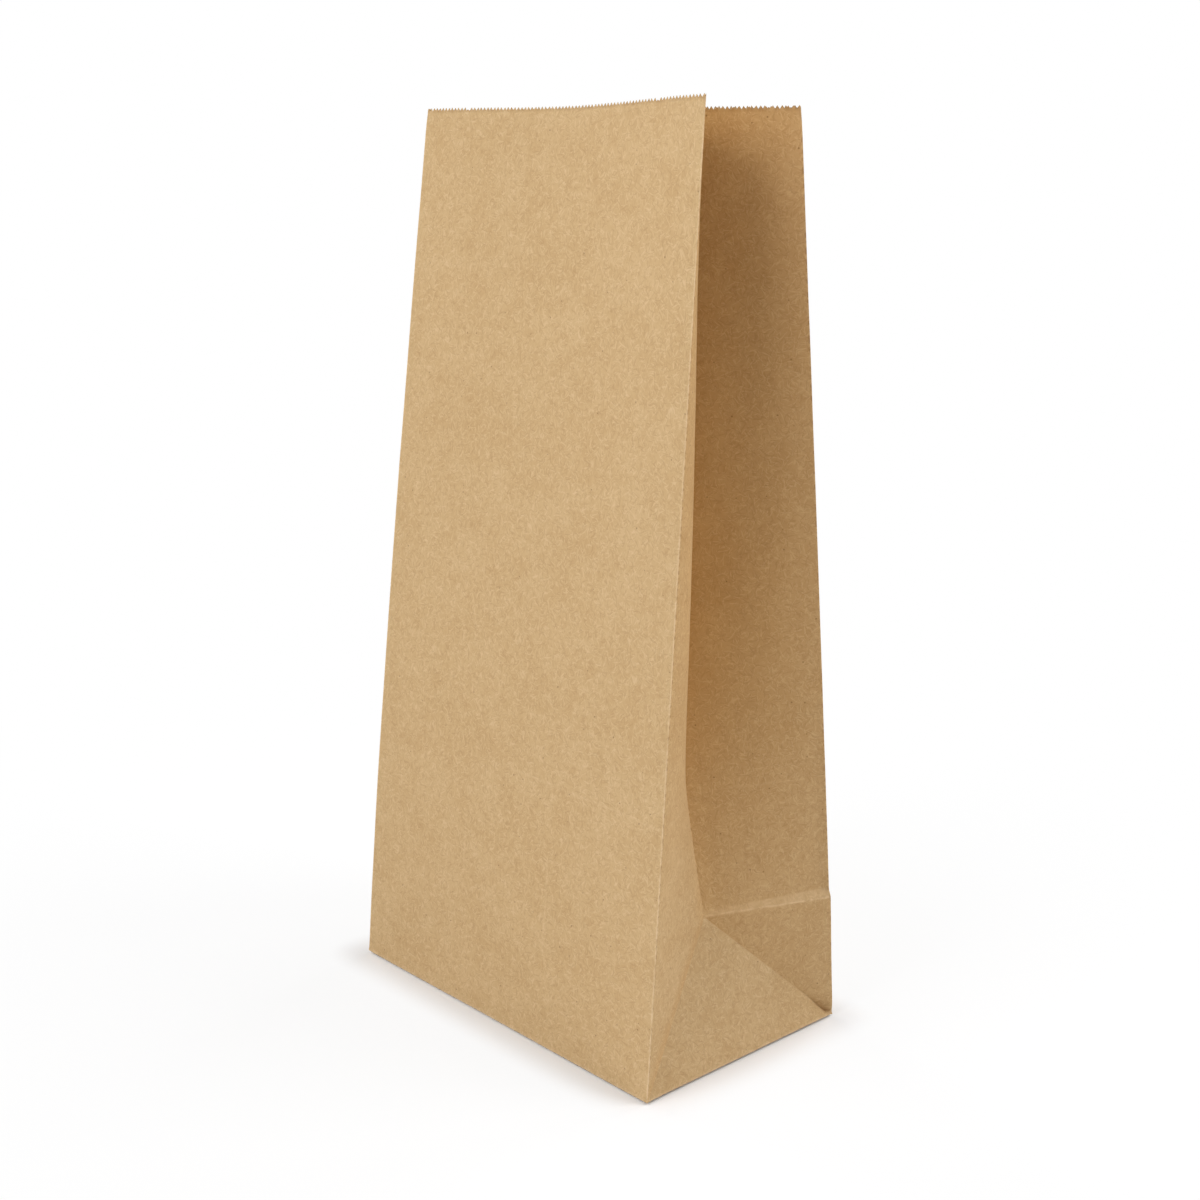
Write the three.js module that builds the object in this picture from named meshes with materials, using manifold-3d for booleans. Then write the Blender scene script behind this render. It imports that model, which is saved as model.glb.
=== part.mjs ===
// Brown paper lunch bag, standing open: one sheet of kraft paper folded into a tube with
// side gussets, a glued lap up the back, a folded block bottom and a serrated mouth.
// Millimetres, +Z up, origin at the centre of the underside, front panel facing -Y.
import * as THREE from 'three';
import Module from 'manifold-3d';

// The sheet and its folds
const bagWidth = 130;
const bagDepth = 79.4;
const bagHeight = 268.5; // paper from the bottom fold to the tips of the teeth
const paper = 0.12; // thickness of one layer
const frontHalf = 35.7; // gusset paper from the front edge to the gusset fold
const creaseHeight = 43.1; // the gusset folds start here, and a crease crosses the back
const flapLap = 12.6; // overlap of the front and rear bottom flaps
const seamLap = 12; // width of the glued lap
const seamPlace = 34; // from the rear right edge to the lap
const toothPitch = 1.51;
const toothDepth = 0.85;

// How the opened bag stands: x and y shift of each upright edge, from bottom to mouth
const mouthShift = {
  frontLeft: [-1, 28.3],
  frontRight: [-2.1, 15.1],
  rearRight: [0, -30.8],
  rearLeft: [0, -20.7],
};
const frontLeftCurl = 1.18; // over 1: this edge leans in mostly towards the mouth
const kneeShift = 3.9; // how far the rear edges have leaned in at the crease
const baseTilt = THREE.MathUtils.degToRad(19); // inward tilt of the gusset's base triangle
const frontHollow = 5.8; // the front panel sinks in by this at the mouth
const rearHollow = 3;
const hollowSkew = 1.15; // moves the front hollow towards the right
const hollowEase = 1.3; // flattens the front hollow at its sides
const frontBow = 8; // the front half of a gusset bulges out by up to this
const bowReach = 52; // height above the crease over which that bulge builds up
const bowOnset = 1.5; // over 1: the bulge leaves the crease smoothly
const bowMouthLoss = 0.42; // share of the bulge lost again at the mouth
const rearBow = 4.2; // the rear half of a gusset sinks in by this at the mouth
const foldDip = 1.8; // the gusset folds end this much lower than the edges
const foldClearance = 1.2; // least gap from a gusset fold to the front panel

// Facets
const panelSteps = 12;
const halfSteps = 6;
const baseSteps = 5;
const seamSteps = 2;
const lowRows = 3;
const highRows = 10;
const rimBand = 4; // strip that carries the teeth
const weldStep = 1e-5;

const rearHalf = bagDepth - frontHalf;
const flapLength = bagDepth / 2 + flapLap / 2;

// Upright edges, by the height v measured along the paper
function mouthShare(name, v) {
  if (name === 'frontLeft') return (v / bagHeight) ** frontLeftCurl;
  if (name === 'frontRight') return v / bagHeight;
  const knee = kneeShift / Math.abs(mouthShift[name][1]);
  if (v < creaseHeight) return (knee * v) / creaseHeight;
  return knee + ((1 - knee) * (v - creaseHeight)) / (bagHeight - creaseHeight);
}

function edgePoint(name, v) {
  const [shiftX, shiftY] = mouthShift[name];
  const share = mouthShare(name, v);
  const slope = Math.hypot(shiftX, shiftY) / bagHeight;
  const sideX = name.endsWith('Right') ? 1 : -1;
  const sideY = name.startsWith('rear') ? 1 : -1;
  return new THREE.Vector3(
    (sideX * bagWidth) / 2 + shiftX * share,
    (sideY * bagDepth) / 2 + shiftY * share,
    v * Math.sqrt(1 - slope ** 2),
  );
}

const frontEdge = (side, v) => edgePoint(side > 0 ? 'frontRight' : 'frontLeft', v);
const rearEdge = (side, v) => edgePoint(side > 0 ? 'rearRight' : 'rearLeft', v);

// Front and rear panels, by t from edge to edge
function frontPanel(t, v) {
  const point = frontEdge(-1, v).lerp(frontEdge(1, v), t);
  const hollow = Math.max(Math.sin(Math.PI * t ** hollowSkew), 0) ** hollowEase;
  point.y += frontHollow * hollow * (v / bagHeight) ** 2;
  return point;
}

function rearPanel(t, v) {
  const point = rearEdge(1, v).lerp(rearEdge(-1, v), t);
  point.y -= rearHollow * Math.sin(Math.PI * t) * (v / bagHeight) ** 2;
  return point;
}

// Gussets: side is 1 on the right and -1 on the left
const climb = (v) => THREE.MathUtils.clamp((v - creaseHeight) / (bagHeight - creaseHeight), 0, 1);

function frontBulge(v) {
  const height = Math.max(v - creaseHeight, 0) / bowReach;
  return frontBow * (1 - Math.exp(-(height ** bowOnset))) * (1 - bowMouthLoss * climb(v) ** 4);
}

const rearSink = (v) => rearBow * climb(v) ** 2;
const bowedChord = (length, bow) => length - (8 * bow ** 2) / (3 * length);

function gussetApex(side) {
  return new THREE.Vector3(
    side * (bagWidth / 2 - creaseHeight * Math.sin(baseTilt)),
    frontHalf - bagDepth / 2,
    creaseHeight * Math.cos(baseTilt),
  );
}

// Where the two halves of a gusset meet when each keeps its paper length
function halvesMeet(side, v) {
  const front = frontEdge(side, v);
  const rear = rearEdge(side, v);
  const frontChord = bowedChord(frontHalf, frontBulge(v));
  const rearChord = bowedChord(rearHalf, rearSink(v));
  const span = Math.hypot(rear.x - front.x, rear.y - front.y);
  const dirX = (rear.x - front.x) / span;
  const dirY = (rear.y - front.y) / span;
  const along = (frontChord ** 2 - rearChord ** 2 + span ** 2) / (2 * span);
  const inward = Math.sqrt(Math.max(frontChord ** 2 - along ** 2, 0));
  return new THREE.Vector3(
    front.x + dirX * along - side * dirY * inward,
    front.y + dirY * along + side * dirX * inward,
    THREE.MathUtils.lerp(front.z, rear.z, along / span),
  );
}

function gussetFold(side, v) {
  const point = halvesMeet(side, v);
  const settle = gussetApex(side).sub(halvesMeet(side, creaseHeight));
  const left = 1 - climb(v);
  point.addScaledVector(settle, left ** 3);
  point.z -= foldDip * (1 - left ** 2);
  const from = frontEdge(-1, v).x;
  const to = frontEdge(1, v).x;
  const behindPanel = frontPanel((point.x - from) / (to - from), v).y + foldClearance;
  point.y = Math.max(point.y, behindPanel);
  return point;
}

// Point on a chord that is bowed sideways in plan; sign 1 bows to the right of its run
function bowedPoint(start, end, t, bow, sign) {
  const length = Math.hypot(end.x - start.x, end.y - start.y);
  const offset = (4 * bow * t * (1 - t) * sign) / length;
  const point = start.clone().lerp(end, t);
  point.x += (end.y - start.y) * offset;
  point.y -= (end.x - start.x) * offset;
  return point;
}

// End of a low row of paper, on the diagonal fold from a bottom corner to the apex
const diagonal = (side, corner, v) => corner.clone().lerp(gussetApex(side), v / creaseHeight);

function gussetFront(side, t, v) {
  if (v < creaseHeight) {
    return frontEdge(side, v).lerp(diagonal(side, frontEdge(side, 0), v), t);
  }
  return bowedPoint(frontEdge(side, v), gussetFold(side, v), t, frontBulge(v), side);
}

function gussetBase(side, t, v) {
  if (v >= creaseHeight) return gussetFold(side, v);
  const front = diagonal(side, frontEdge(side, 0), v);
  return front.lerp(diagonal(side, rearEdge(side, 0), v), t);
}

function gussetRear(side, t, v) {
  if (v < creaseHeight) {
    return diagonal(side, rearEdge(side, 0), v).lerp(rearEdge(side, v), t);
  }
  return bowedPoint(gussetFold(side, v), rearEdge(side, v), t, rearSink(v), -side);
}

// The tube as strips of paper, in order round the bag as seen from above
const evenStops = (from, to, steps) =>
  Array.from({ length: steps + 1 }, (_, i) => THREE.MathUtils.lerp(from, to, i / steps));

const panelStops = evenStops(0, 1, panelSteps);
const halfStops = evenStops(0, 1, halfSteps);
const baseStops = evenStops(0, 1, baseSteps);

const strips = [
  { place: frontPanel, stops: panelStops, width: bagWidth },
  { place: (t, v) => gussetFront(1, t, v), stops: halfStops, width: frontHalf },
  { place: (t, v) => gussetBase(1, t, v), stops: baseStops, width: 0 },
  { place: (t, v) => gussetRear(1, t, v), stops: halfStops, width: rearHalf },
  { place: rearPanel, stops: panelStops, width: bagWidth },
  { place: (t, v) => gussetRear(-1, 1 - t, v), stops: halfStops, width: rearHalf },
  { place: (t, v) => gussetBase(-1, 1 - t, v), stops: baseStops, width: 0 },
  { place: (t, v) => gussetFront(-1, 1 - t, v), stops: halfStops, width: frontHalf },
];
const rows = [
  ...evenStops(0, creaseHeight, lowRows),
  ...evenStops(creaseHeight, bagHeight - rimBand, highRows).slice(1),
];

// A surface collects faces, with points that coincide welded into one
class Surface {
  constructor() {
    this.points = [];
    this.faces = [];
    this.known = new Map();
  }

  index(point) {
    const key = point.toArray().map((value) => Math.round(value / weldStep)).join();
    if (!this.known.has(key)) {
      this.known.set(key, this.points.length);
      this.points.push(point);
    }
    return this.known.get(key);
  }

  triangle(a, b, c) {
    const face = [a, b, c].map((point) => this.index(point));
    if (new Set(face).size === 3) this.faces.push(face);
  }

  grid(place, stops, heights) {
    for (let row = 0; row + 1 < heights.length; row += 1) {
      for (let i = 0; i + 1 < stops.length; i += 1) {
        const lowA = place(stops[i], heights[row]);
        const lowB = place(stops[i + 1], heights[row]);
        const highA = place(stops[i], heights[row + 1]);
        const highB = place(stops[i + 1], heights[row + 1]);
        this.triangle(lowA, lowB, highB);
        this.triangle(lowA, highB, highA);
      }
    }
  }

  // Strip up to the roots of the teeth, then whole teeth between the strip's two folds
  teeth(place, stops, width) {
    const count = Math.round(width / toothPitch);
    const rootStops = evenStops(0, 1, count);
    const low = stops.map((t) => place(t, bagHeight - rimBand));
    const roots = rootStops.map((t) => place(t, bagHeight - toothDepth));
    let i = 0;
    for (let k = 0; k < count; k += 1) {
      const tip = place((rootStops[k] + rootStops[k + 1]) / 2, bagHeight);
      this.triangle(roots[k], roots[k + 1], tip);
      this.triangle(low[i], roots[k + 1], roots[k]);
      while (i + 1 < low.length && stops[i + 1] <= rootStops[k + 1]) {
        this.triangle(low[i], low[i + 1], roots[k + 1]);
        i += 1;
      }
    }
  }
}

// Shift of each point that moves every face round it outwards by one
function faceShifts({ points, faces }) {
  const sums = points.map(() => ({ matrix: new Array(9).fill(0), vector: new THREE.Vector3() }));
  const plane = new THREE.Triangle();
  for (const face of faces) {
    plane.set(...face.map((i) => points[i]));
    const normal = plane.getNormal(new THREE.Vector3());
    const n = normal.toArray();
    for (const i of face) {
      sums[i].vector.add(normal);
      sums[i].matrix = sums[i].matrix.map((value, m) => value + n[Math.floor(m / 3)] * n[m % 3]);
    }
  }
  const steady = 0.05; // holds back shifts along the paper
  return sums.map(({ matrix, vector }, i) => {
    const damped = matrix.map((value, m) => value + (m % 4 === 0 ? steady : 0));
    vector.applyMatrix3(new THREE.Matrix3().fromArray(damped).invert());
    if (points[i].z < weldStep) vector.z = 0; // the foot of the tube stays level
    return vector;
  });
}

// Closed wall round a surface, from one distance inside it to another outside it
function thicken(surface, inside, outside) {
  const { points, faces } = surface;
  const shifts = faceShifts(surface);
  const count = points.length;
  const outer = points.map((point, i) => point.clone().addScaledVector(shifts[i], outside));
  const inner = points.map((point, i) => point.clone().addScaledVector(shifts[i], -inside));
  const triangles = faces.flatMap(([a, b, c]) => [[a, b, c], [c + count, b + count, a + count]]);
  const runs = new Set(faces.flatMap(([a, b, c]) => [`${a},${b}`, `${b},${c}`, `${c},${a}`]));
  for (const run of runs) {
    const [a, b] = run.split(',').map(Number);
    if (!runs.has(`${b},${a}`)) {
      triangles.push([b, a, a + count], [b, a + count, b + count]);
    }
  }
  return { points: [...outer, ...inner], triangles };
}

const wasm = await Module();
wasm.setup();

function solid({ points, triangles }) {
  const vertProperties = Float32Array.from(points.flatMap((point) => point.toArray()));
  const triVerts = Uint32Array.from(triangles.flat());
  return new wasm.Manifold(new wasm.Mesh({ numProp: 3, vertProperties, triVerts }));
}

// Flat layer of the folded bottom, from its outline and the heights of its two faces
function layer(outline, bottom, top) {
  const shape = new THREE.Shape(outline.map(([x, y]) => new THREE.Vector2(x, y)));
  const extruded = new THREE.ExtrudeGeometry(shape, { depth: top - bottom, bevelEnabled: false });
  const position = extruded.translate(0, 0, bottom).getAttribute('position');
  const surface = new Surface();
  for (let i = 0; i < position.count; i += 3) {
    surface.triangle(...[i, i + 1, i + 2].map((k) => new THREE.Vector3().fromBufferAttribute(position, k)));
  }
  return solid({ points: surface.points, triangles: surface.faces });
}

function tubeWall() {
  const surface = new Surface();
  for (const { place, stops, width } of strips) {
    surface.grid(place, stops, rows);
    if (width > 0) surface.teeth(place, stops, width);
  }
  return solid(thicken(surface, paper / 2, paper / 2));
}

// The lap lies on the outside of the rear panel, one layer proud
function seam() {
  const stops = evenStops(seamPlace / bagWidth, (seamPlace + seamLap) / bagWidth, seamSteps);
  const surface = new Surface();
  surface.grid(rearPanel, stops, [...rows, bagHeight - toothDepth]);
  return solid(thicken(surface, 0, paper * 1.5));
}

// Bottom: the side flaps fold in first, with their corners turned under them,
// then the rear flap and last the front flap, each with ends cut by the corner folds
function foldedBottom() {
  const halfWidth = bagWidth / 2;
  const halfDepth = bagDepth / 2;
  const innerX = halfWidth - flapLength;
  const innerY = flapLength - halfDepth;
  const bite = paper / 10; // each layer reaches into the one below, as glue joins them
  const layers = [];
  for (const sideY of [-1, 1]) {
    const level = sideY < 0 ? 0 : paper - bite;
    const flap = [
      [-halfWidth, sideY * halfDepth],
      [halfWidth, sideY * halfDepth],
      [innerX, -sideY * innerY],
      [-innerX, -sideY * innerY],
    ];
    layers.push(layer(flap, level, sideY < 0 ? paper : 2 * paper));
    for (const sideX of [-1, 1]) {
      const corner = [
        [sideX * halfWidth, sideY * halfDepth],
        [sideX * innerX, -sideY * innerY],
        [sideX * innerX, sideY * halfDepth],
      ];
      layers.push(layer(corner, paper - bite, 3 * paper));
    }
  }
  for (const sideX of [-1, 1]) {
    const turns = [frontEdge, rearEdge].map((edge) => diagonal(sideX, edge(sideX, 0), 3.5 * paper));
    const sideFlap = [
      [sideX * halfWidth, -halfDepth],
      ...turns.map(({ x, y }) => [x, y]),
      [sideX * halfWidth, halfDepth],
      [sideX * innerX, halfDepth],
      [sideX * innerX, -halfDepth],
    ];
    layers.push(layer(sideFlap, 3 * paper - bite, 4 * paper));
  }
  return layers;
}

function paperBag() {
  const pieces = [seam(), ...foldedBottom()];
  const joined = pieces.reduce((sum, piece) => sum.add(piece), tubeWall()).getMesh();
  const geometry = new THREE.BufferGeometry();
  geometry.setAttribute('position', new THREE.BufferAttribute(joined.vertProperties, 3));
  geometry.setIndex(Array.from(joined.triVerts));
  geometry.computeVertexNormals();
  const kraft = new THREE.MeshStandardMaterial({ color: 0xc6a777, roughness: 0.9, metalness: 0 });
  const bag = new THREE.Mesh(geometry, kraft);
  bag.name = 'paper_bag';
  return bag;
}

const model = new THREE.Group();
model.add(paperBag());

export default model;
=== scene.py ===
import math

import bpy
import numpy as np
from mathutils import Matrix, Vector


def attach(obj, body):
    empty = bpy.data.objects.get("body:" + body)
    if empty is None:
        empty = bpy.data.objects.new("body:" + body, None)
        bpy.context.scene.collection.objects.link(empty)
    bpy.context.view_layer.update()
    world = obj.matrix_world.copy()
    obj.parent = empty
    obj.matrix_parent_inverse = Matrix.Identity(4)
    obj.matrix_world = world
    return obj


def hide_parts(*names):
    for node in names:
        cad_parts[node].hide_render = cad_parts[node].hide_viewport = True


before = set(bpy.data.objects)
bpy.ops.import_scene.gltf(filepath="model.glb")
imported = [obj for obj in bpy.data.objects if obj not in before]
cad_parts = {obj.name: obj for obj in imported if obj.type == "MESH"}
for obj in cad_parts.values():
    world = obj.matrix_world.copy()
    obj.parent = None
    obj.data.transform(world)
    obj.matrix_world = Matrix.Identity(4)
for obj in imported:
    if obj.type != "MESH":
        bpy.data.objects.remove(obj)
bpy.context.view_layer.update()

mm = 0.001

# The folded sheet, in millimetres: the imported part's driving sizes, apart from the front bow
bag = {
    "width": 130.0,
    "depth": 79.4,
    "height": 268.5,
    "paper": 0.12,
    "frontHalf": 35.7,        # gusset paper in front of the gusset fold
    "crease": 43.1,           # height of the gusset apex and of the rear crease
    "flapLap": 12.6,
    "seamLap": 12.0,
    "seamPlace": 34.0,
    "shift": {"frontLeft": (-1.0, 28.3), "frontRight": (-2.1, 15.1),
              "rearRight": (0.0, -30.8), "rearLeft": (0.0, -20.7)},
    "frontLeftCurl": 1.18,
    "knee": 3.9,
    "baseTilt": math.radians(19),
    "frontHollow": 5.8,
    "rearHollow": 3.0,
    "hollowSkew": 1.15,
    "hollowEase": 1.3,
    "frontBow": 7.0,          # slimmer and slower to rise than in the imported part
    "bowReach": 77.0,
    "bowOnset": 1.5,
    "bowMouthLoss": 0.42,
    "rearBow": 4.2,
    "foldDip": 1.8,
    "foldClearance": 1.2,
}

# What handling has done to the sheet
wear = {
    "mouthSag": 0.9,          # the front edge of the mouth dips in its middle
    "mouthPeak": 0.5,         # and rises at its right end
    "bandDrop": 2.8,          # the rear crease drops by this from the apex to the rear edge
    "bandHeight": (1.3, 3.2), # rounded band above the crease, at the apex and at the rear edge
    "bandSink": 1.3,          # the paper above the band lies this much further in
    "bandFade": 48.0,
    "bandLean": (0.72, 0.45), # which way the gusset sinks there, inwards and back
    "bandEase": (0.12, 0.05), # shares of its width over which that starts and ends
    "rearEase": 0.06,         # and of the rear panel's width
    "edgeSink": 0.3,          # share of it that the rear edges follow
    "creaseJag": 0.22,
    "ear": 0.5,               # the front bottom corners stand out a little
    "earReach": 3.0,
    "earLean": 0.7,           # share of it to the side and to the front
    "groove": 2.2,            # the rear base folds sink in towards their corners
    "grooveReach": 15.0,
    "grooveStart": 1.5,
    "grooveWidth": 1.3,
    "grooveLean": (0.85, 0.3), # which way, inwards and to the front
    "apexPinch": 0.35,        # the base triangle is pinched below its apex
    "pinchWidth": 2.2,
    "pinchStart": 18.0,       # from this height, over this rise
    "pinchRise": 22.0,
    "pinchEnd": 6.0,          # and it fades over this below the apex
}

# Facets: tight beside the folds, wider over the open panels
facets = {
    "beside": (0.12, 0.3, 0.6, 1.1, 2.0, 3.4),
    "open": 2.4,
    "least": 0.05,            # a strip narrower than this has run out to a point
    "creaseStep": 0.3,        # close rows for the tilted rear crease
    "rounding": 4,            # smoothing passes that round the folds
    "roundReach": 0.4,
}

halfWidth = bag["width"] / 2
halfDepth = bag["depth"] / 2
rearHalf = bag["depth"] - bag["frontHalf"]
flapLength = halfDepth + bag["flapLap"] / 2
girth = 2 * (bag["width"] + bag["depth"])


def lerp(a, b, t):
    return a + (b - a) * t


def smooth(x):
    x = np.clip(x, 0.0, 1.0)
    return x * x * (3 - 2 * x)


def wander(x, seed):  # smooth wobble between -1 and 1 along a line
    return (np.sin(x * 0.61 + seed) + np.sin(x * 1.37 + seed * 2.3) + np.sin(x * 2.93 + seed * 4.1)) / 3


def climb(v):
    return min(max((v - bag["crease"]) / (bag["height"] - bag["crease"]), 0.0), 1.0)


# Upright edges by the height v along the paper
def edgePoint(name, v):
    shiftX, shiftY = bag["shift"][name]
    if name == "frontLeft":
        share = (v / bag["height"]) ** bag["frontLeftCurl"]
    elif name == "frontRight":
        share = v / bag["height"]
    else:
        knee = bag["knee"] / abs(shiftY)
        share = knee * v / bag["crease"] if v < bag["crease"] else lerp(knee, 1.0, climb(v))
    slope = math.hypot(shiftX, shiftY) / bag["height"]
    sideX = 1 if name.endswith("Right") else -1
    sideY = 1 if name.startswith("rear") else -1
    return np.array((sideX * halfWidth + shiftX * share,
                     sideY * halfDepth + shiftY * share,
                     v * math.sqrt(1 - slope ** 2)))


def aboveCrease(t, v):  # height above the rear crease, by t from the apex to the rear edge
    return v - bag["crease"] + wear["bandDrop"] * t


def bandHeight(t):
    return lerp(*wear["bandHeight"], t)


def bandSink(t, v):  # how far the paper above the rear crease has sunk in
    above = np.maximum(aboveCrease(t, v), 0.0)
    return wear["bandSink"] * smooth(above / bandHeight(t)) * np.exp(-above / wear["bandFade"])


def frontEdge(side, v):
    point = edgePoint("frontRight" if side > 0 else "frontLeft", v)
    if side > 0:
        point[2] += wear["mouthPeak"] * (v / bag["height"]) ** 4
    return point


def rearEdge(side, v):
    point = edgePoint("rearRight" if side > 0 else "rearLeft", v)
    sink = wear["edgeSink"] * float(bandSink(1.0, v))
    point[0] -= side * sink
    point[1] -= sink
    return point


def frontPanel(t, v):
    share = v / bag["height"]
    point = lerp(frontEdge(-1, v), frontEdge(1, v), t[:, None])
    hollow = np.maximum(np.sin(np.pi * t ** bag["hollowSkew"]), 0) ** bag["hollowEase"]
    point[:, 1] += bag["frontHollow"] * hollow * share ** 2
    point[:, 2] -= wear["mouthSag"] * np.sin(np.pi * t) ** 2 * share ** 4
    return point


def rearPanel(t, v):
    point = lerp(rearEdge(1, v), rearEdge(-1, v), t[:, None])
    point[:, 1] -= bag["rearHollow"] * np.sin(np.pi * t) * (v / bag["height"]) ** 2
    point[:, 1] -= (1 - wear["edgeSink"]) * bandSink(1.0, v) * smooth(np.minimum(t, 1 - t) / wear["rearEase"])
    return point


def frontBulge(v):
    above = max(v - bag["crease"], 0.0) / bag["bowReach"]
    mouthLoss = bag["bowMouthLoss"] * climb(v) ** 4
    return bag["frontBow"] * (1 - math.exp(-above ** bag["bowOnset"])) * (1 - mouthLoss)


def rearSink(v):
    return bag["rearBow"] * climb(v) ** 2


def bowedChord(length, bow):
    return length - 8 * bow ** 2 / (3 * length)


def gussetApex(side):
    return np.array((side * (halfWidth - bag["crease"] * math.sin(bag["baseTilt"])),
                     bag["frontHalf"] - halfDepth,
                     bag["crease"] * math.cos(bag["baseTilt"])))


# Where the halves of a gusset meet when each keeps its paper length
def halvesMeet(side, v):
    front = edgePoint("frontRight" if side > 0 else "frontLeft", v)
    rear = edgePoint("rearRight" if side > 0 else "rearLeft", v)
    frontChord = bowedChord(bag["frontHalf"], frontBulge(v))
    rearChord = bowedChord(rearHalf, rearSink(v))
    span = math.hypot(rear[0] - front[0], rear[1] - front[1])
    dirX, dirY = (rear[0] - front[0]) / span, (rear[1] - front[1]) / span
    along = (frontChord ** 2 - rearChord ** 2 + span ** 2) / (2 * span)
    inward = math.sqrt(max(frontChord ** 2 - along ** 2, 0))
    return np.array((front[0] + dirX * along - side * dirY * inward,
                     front[1] + dirY * along + side * dirX * inward,
                     lerp(front[2], rear[2], along / span)))


def gussetFold(side, v):
    left = 1 - climb(v)
    point = halvesMeet(side, v) + (gussetApex(side) - halvesMeet(side, bag["crease"])) * left ** 3
    point[2] -= bag["foldDip"] * (1 - left ** 2)
    ends = frontEdge(-1, v)[0], frontEdge(1, v)[0]
    across = np.array([min(max((point[0] - ends[0]) / (ends[1] - ends[0]), 0), 1)])
    point[1] = max(point[1], frontPanel(across, v)[0, 1] + bag["foldClearance"])
    return point


def bowedRun(start, end, t, bow, sign):
    run = end - start
    offset = 4 * bow * t * (1 - t) * sign / math.hypot(run[0], run[1])
    point = lerp(start, end, t[:, None])
    point[:, 0] += run[1] * offset
    point[:, 1] -= run[0] * offset
    return point


def diagonal(side, corner, v):
    return lerp(corner, gussetApex(side), v / bag["crease"])


def gussetFront(side, t, v):
    if v < bag["crease"]:
        return lerp(frontEdge(side, v), diagonal(side, frontEdge(side, 0), v), t[:, None])
    return bowedRun(frontEdge(side, v), gussetFold(side, v), t, frontBulge(v), side)


def gussetBase(side, t, v):
    front = diagonal(side, frontEdge(side, 0), v)
    rear = diagonal(side, rearEdge(side, 0), v)
    point = lerp(front, rear, t[:, None])
    # what is left of the gusset's own fold pinches the triangle below its apex
    fromFold = (t - bag["frontHalf"] / bag["depth"]) * (rear[1] - front[1])
    pinch = np.exp(-(fromFold / wear["pinchWidth"]) ** 2)
    rising = smooth((v - wear["pinchStart"]) / wear["pinchRise"])
    fading = smooth((bag["crease"] - v) / wear["pinchEnd"])
    point[:, 0] -= side * wear["apexPinch"] * pinch * rising * fading
    return point


def gussetRear(side, t, v):
    if v < bag["crease"]:
        point = lerp(diagonal(side, rearEdge(side, 0), v), rearEdge(side, v), t[:, None])
        share = 1 - (1 - t) * v / bag["crease"]  # the same t, measured from the apex line
    else:
        point = bowedRun(gussetFold(side, v), rearEdge(side, v), t, rearSink(v), -side)
        share = t
    rising = smooth(share / wear["bandEase"][0])
    fading = smooth((1 - share) / wear["bandEase"][1])
    sink = (1 - wear["edgeSink"]) * bandSink(share, v) * rising * fading
    point[:, 0] -= side * sink * wear["bandLean"][0]
    point[:, 1] += sink * wear["bandLean"][1]
    return point


def lowShare(v):  # share of the base triangles' height that lies below v
    return min(v / bag["crease"], 1.0)


# The strips of paper between the folds: where a point lies, and the sheet coordinate at both ends
frontTurn, rearTurn = bag["width"], bag["width"] + bag["depth"]
leftTurn = rearTurn + bag["width"]
strips = [
    {"place": frontPanel, "ends": lambda v: (0.0, frontTurn)},
    {"place": lambda t, v: gussetFront(1, t, v),
     "ends": lambda v: (frontTurn, frontTurn + bag["frontHalf"] * lowShare(v))},
    {"place": lambda t, v: gussetBase(1, t, v),
     "ends": lambda v: (frontTurn + bag["frontHalf"] * lowShare(v), rearTurn - rearHalf * lowShare(v))},
    {"place": lambda t, v: gussetRear(1, t, v),
     "ends": lambda v: (rearTurn - rearHalf * lowShare(v), rearTurn)},
    {"place": rearPanel, "ends": lambda v: (rearTurn, leftTurn)},
    {"place": lambda t, v: gussetRear(-1, 1 - t, v),
     "ends": lambda v: (leftTurn, leftTurn + rearHalf * lowShare(v))},
    {"place": lambda t, v: gussetBase(-1, 1 - t, v),
     "ends": lambda v: (leftTurn + rearHalf * lowShare(v), girth - bag["frontHalf"] * lowShare(v))},
    {"place": lambda t, v: gussetFront(-1, 1 - t, v),
     "ends": lambda v: (girth - bag["frontHalf"] * lowShare(v), girth)},
]

# Folded bottom: heights of its layers, and of the rounded foot of each strip above them
layerLevel = {"front": 0.08, "rear": 0.21, "corner": 0.13, "side": 0.47}
footLevel = {"front": 0.6, "rear": 0.65, "corner": 0.75, "side": 0.9}
bottom = {
    "round": 2.2,             # the foot rounds under over this
    "fade": 12.0,             # its lift is gone at this height up the walls
    "cornerRun": 5.0,         # the feet level out over this beside a corner
    "turnRise": 0.25,         # a turned corner rises over its flap within this
    "turnShare": 0.996,       # and stops just short of the fold
    "sideInset": 0.16,        # the side flaps keep this far from the front and rear walls
}


def bottomLevel(name, inward):  # height of a bottom layer by its distance from the foot
    return lerp(footLevel[name], layerLevel[name], smooth(inward / bottom["round"]))


def footLift(strip, t, v):
    fade = max(1 - v / bottom["fade"], 0.0)
    name = {0: "front", 2: "side", 4: "rear", 6: "side"}.get(strip, "corner")
    width = bag["width"] if strip in (0, 4) else bag["depth"]
    inward = smooth(np.minimum(t, 1 - t) * width / bottom["cornerRun"])
    return fade * lerp(footLevel["corner"], footLevel[name], inward)


# Stops across a width: close together beside the folds at both ends
def foldStops(width):
    near = [d for d in facets["beside"] if d < width * 0.36]
    reach = near[-1] if near else 0.0
    inner = width - 2 * reach
    count = max(1, math.ceil(inner / facets["open"]))
    middle = [reach + inner * i / count for i in range(count + 1)]
    first = [0.0] + near[:-1] if near else []
    return np.array(first + middle + [width - d for d in reversed(first)]) / width


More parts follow.
